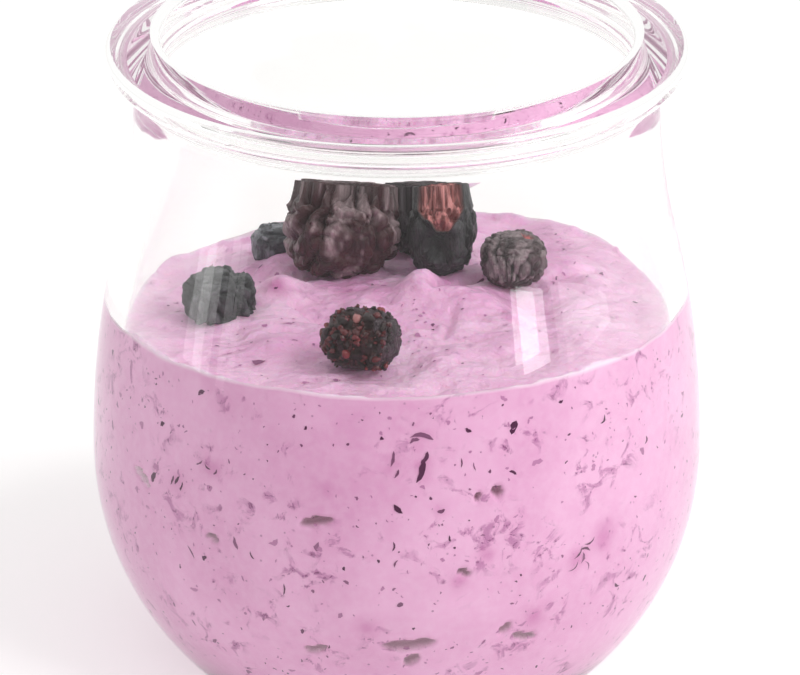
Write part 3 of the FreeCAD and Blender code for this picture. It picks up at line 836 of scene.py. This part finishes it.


# %% Set the seven berries
# In this order: centre, half sizes, turn, crown's bearing and tilt, number and depth of the folds, depth of the
# wrinkles, (angle, height, dent) of the crown's ring, (place, depth, width) of the groove, (direction, size) of
# the bare flesh, seed and, where it isn't the usual one, the grid.  The skin's colours follow; deep is the colour
# of the painted shade in the folds.
BERRIES = {
    "large": (((-6.8, 6.0, 51.90), (7.8, 6.2, 6.4), 8, (-70, 66), 11, 0.26, 0.12,
               (0.42, 0.06, 0.16), (0.10, 0.06, 0.3), None, 11, 200, 300),
              dict(skin=(0.062, 0.014, 0.019), deep=(0.016, 0.002, 0.003), veil=(0.46, 0.34, 0.36),
                   veil_share=0.90, rough=0.32)),
    "open": (((5.55, 4.8, 52.07), (4.6, 4.4, 6.1), -10, (-86, 2), 9, 0.10, 0.10,
              (0.46, 0.08, 0.22), (-0.2, 0.02, 0.2), ((0.05, -0.75, 1.05), 0.66), 23, 180, 260),
             dict(skin=(0.020, 0.019, 0.021), deep=(0.005, 0.004, 0.005), veil=(0.095, 0.095, 0.100),
                  veil_share=0.75, flesh=(0.62, 0.24, 0.23))),
    "right": (((14.14, 1.23, 49.87), (4.3, 4.0, 3.6), 20, (60, 40), 15, 0.12, 0.10,
               (0.40, 0.05, 0.12), (0.3, 0.02, 0.2), ((0.35, -0.25, 1.0), 0.20), 37),
              dict(skin=(0.080, 0.050, 0.054), deep=(0.018, 0.010, 0.012), veil=(0.37, 0.29, 0.305),
                   veil_share=0.95, flesh=(0.75, 0.16, 0.16))),
    "back": (((2.33, 14.35, 50.59), (4.7, 4.5, 5.6), 40, (90, 20), 10, 0.12, 0.12,
              (0.42, 0.06, 0.16), (0.0, 0.03, 0.2), None, 41),
             dict(skin=(0.050, 0.030, 0.034), deep=(0.012, 0.006, 0.008), veil=(0.16, 0.14, 0.16),
                  veil_share=0.7)),
    "back_left": (((-15.22, 12.97, 46.85), (3.4, 3.1, 2.9), 15, (150, 35), 9, 0.10, 0.10,
                   (0.42, 0.06, 0.14), (0.1, 0.02, 0.2), None, 53),
                  dict(skin=(0.13, 0.135, 0.15), deep=(0.05, 0.05, 0.06), veil=(0.42, 0.43, 0.47),
                       veil_share=0.95)),
    "left": (((-20.9, -6.2, 47.84), (4.6, 3.7, 3.9), 12, (200, 30), 9, 0.14, 0.14,
              (0.42, 0.05, 0.12), (0.42, 0.20, 0.16), None, 61),
             dict(skin=(0.040, 0.042, 0.044), deep=(0.014, 0.014, 0.016), veil=(0.17, 0.17, 0.18),
                  veil_share=0.8, rough=0.6)),
    "front": (((-4.0, -22.8, 49.74), (4.9, 3.9, 3.75), -12, (20, 5), 8, 0.06, 0.10,
               (0.30, 0.03, 0.05), (-0.1, 0.02, 0.3), ((-0.55, -0.6, 0.25), 1.25), 71, 180, 260),
              dict(skin=(0.050, 0.026, 0.034), deep=(0.014, 0.004, 0.006), veil=(0.12, 0.10, 0.14),
                   veil_share=0.2, flesh=(0.070, 0.006, 0.008), rough=0.34)),
}
berries = {}
for name, (shape, colours) in BERRIES.items():
    node = "berry_" + name
    piece = berry("dried_" + node, *shape)
    piece.data.materials.append(berry_finish("skin_" + name, **colours))
    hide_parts(node)
    berries[name] = piece

# %% [markdown]
# ## Crumbs
# The front berry is broken open and its flesh has dried to grains, some of them hollow and shining.  They are
# real grains here: small bumpy balls joined into one mesh, pressed halfway into the broken face.


# %% Grains on a broken face
def copied(faces, count):
    """The faces of one small mesh, repeated for many with as many points each."""
    return (faces[None] + (np.arange(count) * (faces.max() + 1))[:, None, None]).reshape(-1, 4)


def grains(name, centres, sizes, outward, seed, rows=7, columns=10):
    """Many small uneven balls as one mesh: each a grid of rings, stretched and turned at random."""
    rng = np.random.default_rng(seed)
    count = len(centres)
    off = np.linspace(0, math.pi, rows)[:, None]
    about = np.linspace(0, 2 * math.pi, columns, endpoint=False)[None]
    ball = np.stack([np.sin(off) * np.cos(about), np.sin(off) * np.sin(about), np.cos(off) + 0 * about], -1)
    ball = ball.reshape(-1, 3)
    frames = np.linalg.qr(rng.normal(size=(count, 3, 3)))[0]
    stretch = rng.uniform(0.6, 1.3, (count, 1, 3)) * sizes[:, None, None]
    lumps = 1 + 0.38 * soft_noise(ball[None] + rng.uniform(0, 50, (count, 1, 3)), 0.7, seed)
    points = (ball[None] * stretch * lumps[..., None]) @ frames + centres[:, None] + outward[:, None] * 0.1
    tone = np.repeat(rng.uniform(0, 1, count), rows * columns)
    piece = put_mesh(name, points.reshape(-1, 3), [copied(ring_faces(rows, columns), count)], tone=tone)
    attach(piece, "root")
    return piece


def points_on(piece, count, seed, keep):
    """Random points of a piece's mesh where keep is true, with their outward directions, in mm."""
    mesh = piece.data
    places = np.empty(len(mesh.vertices) * 3, np.float32)
    outward = np.empty(len(mesh.vertices) * 3, np.float32)
    mesh.vertices.foreach_get("co", places)
    mesh.vertex_normals.foreach_get("vector", outward)
    places, outward = places.reshape(-1, 3) / MM, outward.reshape(-1, 3)
    chosen = np.flatnonzero(keep(places, outward))
    chosen = np.random.default_rng(seed).choice(chosen, count)
    return places[chosen], outward[chosen]


def on_torn_side(place, outward):
    """The front berry's left half, above the mousse and not turned to the back."""
    return (place[:, 0] < -0.8) & (place[:, 2] > 46.8) & (outward[:, 1] < 0.6)


crumb_at, crumb_out = points_on(berries["front"], 340, 5, on_torn_side)
crumb_size = 0.11 + 0.42 * np.random.default_rng(6).random(len(crumb_at)) ** 1.9
crumbs = grains("berry_crumbs", crumb_at, crumb_size, crumb_out, 7)
crumb = Finish("dried_flesh_grains")
tone = crumb.attribute("tone")
shade = crumb.blend((0.014, 0.003, 0.004), (0.10, 0.010, 0.014), tone.between(0.3, 0.8))
shade = crumb.blend(shade, (0.22, 0.025, 0.03), tone.between(0.88, 0.96))
shade = crumb.blend(shade, (0.38, 0.15, 0.15), tone.between(0.975, 0.985))
crumbs.data.materials.append(crumb.done(crumb.surface(Base_Color=shade, Roughness=0.16, Specular_IOR_Level=0.5)))

# %% [markdown]
# ## Skin shreds
# Blended skins leave dark shreds all through the mousse.  Against the glass they show from pin points to curled
# strips two millimetres long.  Each is a thin curved leaf on a small grid, laid on the mousse, and each set of
# them is one mesh.


# %% Leaves on a surface
def leaf_shapes(count, long, wide, bend, rng, lean=None, rows=6, columns=3):
    """Flat leaves as offsets (u, v): a bent middle line with ragged edges that close at both ends.

    They lean at the given degrees from level, or at random.
    """
    s = np.linspace(-1, 1, rows)[None, :, None]
    side = np.linspace(-1, 1, columns)[None, None, :]
    taper = (1 - np.abs(s) ** 2.2) ** 0.6 + 0.04
    ragged = 1 + 0.45 * rng.uniform(-1, 1, (count, rows, columns))
    u = long[:, None, None] * s + 0 * side
    v = wide[:, None, None] * side * taper * ragged + bend[:, None, None] * (s ** 2 - 0.5)
    turn = (rng.uniform(0, math.pi, count) if lean is None else np.radians(lean))[:, None, None]
    return u * np.cos(turn) - v * np.sin(turn), u * np.sin(turn) + v * np.cos(turn)


def put_leaves(name, points, palest, rng):
    """Leaves from their points; each has one tone from 0 to the palest."""
    count, rows, columns = points.shape[:3]
    number = np.arange(rows * columns).reshape(rows, columns)
    face = np.stack([number[:-1, :-1], number[:-1, 1:], number[1:, 1:], number[1:, :-1]], -1).reshape(-1, 4)
    tone = np.repeat(rng.uniform(0, palest, count), rows * columns)
    piece = put_mesh(name, points.reshape(-1, 3), [copied(face, count)], tone=tone)
    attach(piece, "root")
    return piece


def leaves_on_wall(name, bearings, heights, long, wide, bend, seed, lean=None, palest=1.0, proud=0.03):
    """Leaves on the mousse's side: u runs round the jar and v runs up it."""
    rng = np.random.default_rng(seed)
    u, v = leaf_shapes(len(bearings), long, wide, bend, rng, lean)
    z = np.clip(heights[:, None, None] + v, 6.0, None)
    radius = wall_radius(z) + proud
    around = bearings[:, None, None] + u / radius
    return put_leaves(name, np.stack([radius * np.cos(around), radius * np.sin(around), z], -1), palest, rng)


def leaves_on_top(name, x, y, long, wide, bend, seed, proud=0.06):
    """Leaves on the mousse's top: u and v lie in the plan."""
    rng = np.random.default_rng(seed)
    u, v = leaf_shapes(len(x), long, wide, bend, rng)
    px, py = x[:, None, None] + u, y[:, None, None] + v
    return put_leaves(name, np.stack([px, py, top_height(px, py) + proud], -1), 1.0, rng)


# %% Scatter the shreds
rng = np.random.default_rng(19)
count = 1500
size = 0.06 + 0.09 * rng.random(count) + 0.34 * rng.random(count) ** 9
wall_bearing = rng.uniform(0, 2 * math.pi, count)
wall_z = 6.5 + (fill_height(wall_bearing) - 7.2) * rng.random(count)
shreds = leaves_on_wall("skin_shreds_side", wall_bearing, wall_z, size * rng.uniform(1.0, 2.2, count),
                        size * rng.uniform(0.4, 0.9, count), size * rng.uniform(-0.8, 0.8, count), 20)

# bearing from the front towards the right in degrees, height, half length, half width, bend and lean in degrees
LARGE_SHREDS = np.array([
    (4.9, 42.0, 1.35, 0.22, -0.45, -8), (3.4, 41.6, 0.60, 0.20, -0.2, 20), (-0.8, 39.4, 1.00, 0.15, 0.1, 80),
    (0.0, 37.6, 0.60, 0.14, 0.1, 65), (4.6, 37.9, 1.50, 0.30, 0.15, 72), (5.4, 39.5, 0.80, 0.22, 0.2, 60),
    (0.2, 33.3, 0.75, 0.26, 0.1, -48), (8.4, 32.9, 0.48, 0.18, 0.1, 15), (3.6, 34.8, 0.14, 0.12, 0.0, 0),
    (-48.0, 31.6, 0.70, 0.13, 0.1, 70), (-46.7, 31.9, 0.75, 0.15, -0.1, 60), (-45.4, 31.4, 0.60, 0.12, 0.1, 75),
    (-41.0, 35.2, 0.60, 0.10, 0.1, 40), (-39.0, 35.0, 0.50, 0.10, 0.2, -30), (-37.0, 34.7, 0.45, 0.10, 0.1, 60),
    (37.0, 24.4, 0.90, 0.10, 0.3, 50), (38.6, 24.6, 0.80, 0.12, -0.3, -20), (38.0, 23.6, 0.70, 0.16, 0.3, 80),
    (39.6, 25.4, 0.80, 0.10, 0.4, 20), (36.0, 22.8, 0.90, 0.06, 0.5, 40), (39.2, 22.4, 0.80, 0.05, -0.4, -70),
    (-0.6, 28.6, 0.60, 0.10, 0.2, 85), (-0.2, 26.4, 0.55, 0.09, -0.2, 70), (0.6, 21.0, 0.42, 0.24, 0.0, 25),
    (-28.6, 25.4, 0.55, 0.08, 0.2, -60), (-22.0, 21.8, 0.80, 0.09, 0.1, 85), (-43.0, 23.4, 0.90, 0.10, -0.1, -55),
    (-20.5, 43.6, 0.24, 0.16, 0.0, 45), (-18.0, 42.4, 0.28, 0.16, 0.1, 60), (14.0, 42.4, 0.42, 0.18, 0.1, -35),
    (12.5, 38.6, 0.60, 0.07, 0.1, 88), (15.0, 38.0, 0.55, 0.07, 0.1, -75), (-9.5, 41.0, 0.20, 0.14, 0.0, 30),
    (34.0, 43.8, 0.34, 0.16, 0.1, 10), (44.0, 40.0, 0.60, 0.12, 0.3, 50), (56.0, 35.0, 0.50, 0.14, 0.3, 70),
    (130.0, 30.0, 0.80, 0.25, 0.3, 30), (165.0, 22.0, 0.70, 0.20, -0.3, 60), (-120.0, 34.0, 0.90, 0.25, 0.4, 80),
    (-150.0, 18.0, 0.70, 0.30, 0.2, 10), (-95.0, 27.0, 0.60, 0.20, 0.2, 45), (98.0, 38.0, 0.70, 0.20, 0.3, 20),
])
large = leaves_on_wall("skin_shreds_large", np.radians(LARGE_SHREDS[:, 0] - 90), *LARGE_SHREDS.T[1:5], 21,
                       lean=LARGE_SHREDS[:, 5], palest=0.25, proud=0.05)

count = 260
radius = 29.5 * np.sqrt(rng.random(count))
around = rng.uniform(0, 2 * math.pi, count)
size = 0.06 + 0.08 * rng.random(count) + 0.35 * rng.random(count) ** 7
top_shreds = leaves_on_top("skin_shreds_top", radius * np.cos(around), radius * np.sin(around),
                           size * rng.uniform(1.0, 2.0, count), size * rng.uniform(0.5, 0.9, count),
                           size * rng.uniform(-0.8, 0.8, count), 22)

# place (x, y), half length, half width and bend of the shreds that show on the top
TOP_SHREDS = np.array([
    (2.2, -7.6, 0.30, 0.16, 0.1), (3.1, -8.3, 0.22, 0.14, 0.0), (2.7, -9.2, 0.34, 0.18, -0.1),
    (3.6, -9.7, 0.20, 0.12, 0.1), (2.3, -10.3, 0.18, 0.12, 0.0), (3.3, -10.9, 0.26, 0.14, 0.1),
    (4.2, -11.7, 0.30, 0.20, 0.1), (7.3, -2.6, 0.50, 0.26, 0.2), (8.6, -3.3, 0.20, 0.12, 0.0),
    (-5.6, -9.4, 0.24, 0.14, 0.1), (-8.2, -13.6, 0.22, 0.12, 0.0), (10.4, -9.6, 0.20, 0.14, 0.1),
    (12.9, -14.8, 0.26, 0.14, 0.2), (-17.0, -15.5, 0.24, 0.14, 0.1), (-12.4, -8.2, 0.22, 0.12, 0.0),
    (16.8, -9.4, 0.18, 0.12, 0.0), (5.8, -19.8, 0.24, 0.16, 0.1), (20.6, 5.0, 0.26, 0.14, 0.1),
])
placed_shreds = leaves_on_top("skin_shreds_placed", *TOP_SHREDS.T, 23)

shred = Finish("berry_skin_shreds")
tone = shred.attribute("tone")
shade = shred.blend((0.085, 0.022, 0.062), (0.52, 0.22, 0.41), tone.between(0.0, 0.55))
shred_material = shred.done(shred.surface(Base_Color=shade, Roughness=0.6, Specular_IOR_Level=0.1))
for piece in (shreds, large, top_shreds, placed_shreds):
    piece.data.materials.append(shred_material)
